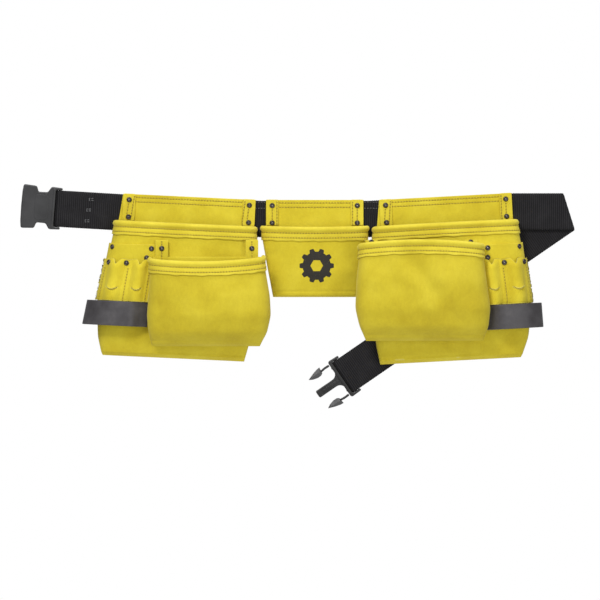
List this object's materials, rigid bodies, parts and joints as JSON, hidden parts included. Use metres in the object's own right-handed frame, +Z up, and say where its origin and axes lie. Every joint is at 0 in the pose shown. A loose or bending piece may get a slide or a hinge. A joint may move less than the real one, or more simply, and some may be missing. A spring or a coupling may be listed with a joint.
{
  "type": "toy tool belt",
  "caption": "Child's tool belt: webbing waist belt with a side-release buckle, suede side bags with front pockets, tool sleeves and hammer loops, and a small centre pouch.",
  "frame": {"origin": "on the webbing's back face, in the middle of the centre pouch and halfway up the webbing", "axes": "+X along the belt, to the right seen from the front; +Z up as worn; +Y towards the wearer"},
  "size_m": [0.5802, 0.0731, 0.2351],
  "materials": {
    "suede": "split suede, dyed yellow",
    "loop_leather": "smooth dark grey leather",
    "webbing": "ribbed black webbing",
    "buckle": "satin moulded black plastic",
    "rivet": "blackened tubular rivet caps"
  },
  "bodies": {
    "centre": {"webbing_centre": "webbing", "centre_belt_panel": "suede", "centre_side_strips": "suede", "centre_pocket_front": "suede", "centre_pocket_rim": "suede", "centre_rivets": "rivet"},
    "left_bag": {"left_belt_panel": "suede", "left_side_strips": "suede", "left_main_front": "suede", "left_main_rim": "suede", "left_tool_panel": "suede", "left_tool_sleeves": "suede", "left_hammer_loop": "loop_leather", "left_pocket_back": "suede", "left_pocket_front": "suede", "left_pocket_rim": "suede", "left_rivets": "rivet", "webbing_left_bag": "webbing"},
    "right_bag": {"right_belt_panel": "suede", "right_side_strips": "suede", "right_main_front": "suede", "right_main_rim": "suede", "right_tool_panel": "suede", "right_tool_sleeves": "suede", "right_hammer_loop": "loop_leather", "right_pocket_back": "suede", "right_pocket_front": "suede", "right_pocket_rim": "suede", "right_rivets": "rivet", "webbing_right_bag": "webbing", "webbing_right_end": "webbing"},
    "left_end": {"webbing_left_end": "webbing"},
    "socket": {"buckle_socket": "buckle"},
    "tail": {"webbing_tail": "webbing"},
    "adjuster": {"webbing_adjuster": "webbing"},
    "plug": {"plug_frame": "buckle"},
    "upper_arm": {"latch_arm_upper": "buckle"},
    "lower_arm": {"latch_arm_lower": "buckle"}
  },
  "joints": [
    {"name": "left_bag_wrap", "type": "hinge", "parent": "centre", "child": "left_bag", "pos_m": [-0.0567, -0.0008, 0], "axis": [0, 0, -1], "range_deg": [0, 60]},
    {"name": "right_bag_wrap", "type": "hinge", "parent": "centre", "child": "right_bag", "pos_m": [0.0567, -0.0008, 0], "axis": [0, 0, 1], "range_deg": [0, 60]},
    {"name": "left_end_wrap", "type": "hinge", "parent": "left_bag", "child": "left_end", "pos_m": [-0.20094, -0.0008, 0.0068], "axis": [0.0471, 0, -0.9989], "range_deg": [0, 75]},
    {"name": "socket_pivot", "type": "hinge", "parent": "left_end", "child": "socket", "pos_m": [-0.2665, 0.0021, 0.01081], "axis": [0.0785, 0, 0.9969], "range_deg": [-35, 35]},
    {"name": "tail_fold", "type": "hinge", "parent": "right_bag", "child": "tail", "pos_m": [0.2657, 0.0014, 0.00655], "axis": [0.3296, 0, -0.9441], "range_deg": [0, 180]},
    {"name": "belt_adjust", "type": "slide", "parent": "tail", "child": "adjuster", "axis": [0.8241, 0, 0.5664], "range_m": [0, 0.045]},
    {"name": "plug_pivot", "type": "hinge", "parent": "adjuster", "child": "plug", "pos_m": [0.032, 0.0084, -0.163], "axis": [-0.5664, 0, 0.8241], "range_deg": [-20, 35]},
    {"name": "latch_upper", "type": "hinge", "parent": "plug", "child": "upper_arm", "pos_m": [0.01495, 0.0084, -0.15197], "axis": [0, -1, 0], "range_deg": [0, 8], "stiffness_Nm_per_rad": 0.08},
    {"name": "latch_lower", "type": "hinge", "parent": "plug", "child": "lower_arm", "pos_m": [0.03619, 0.0084, -0.18287], "axis": [0, 1, 0], "range_deg": [0, 8], "stiffness_Nm_per_rad": 0.08}
  ],
  "couplings": [
    {"joint": "latch_lower", "follows": "latch_upper", "ratio": 1}
  ]
}
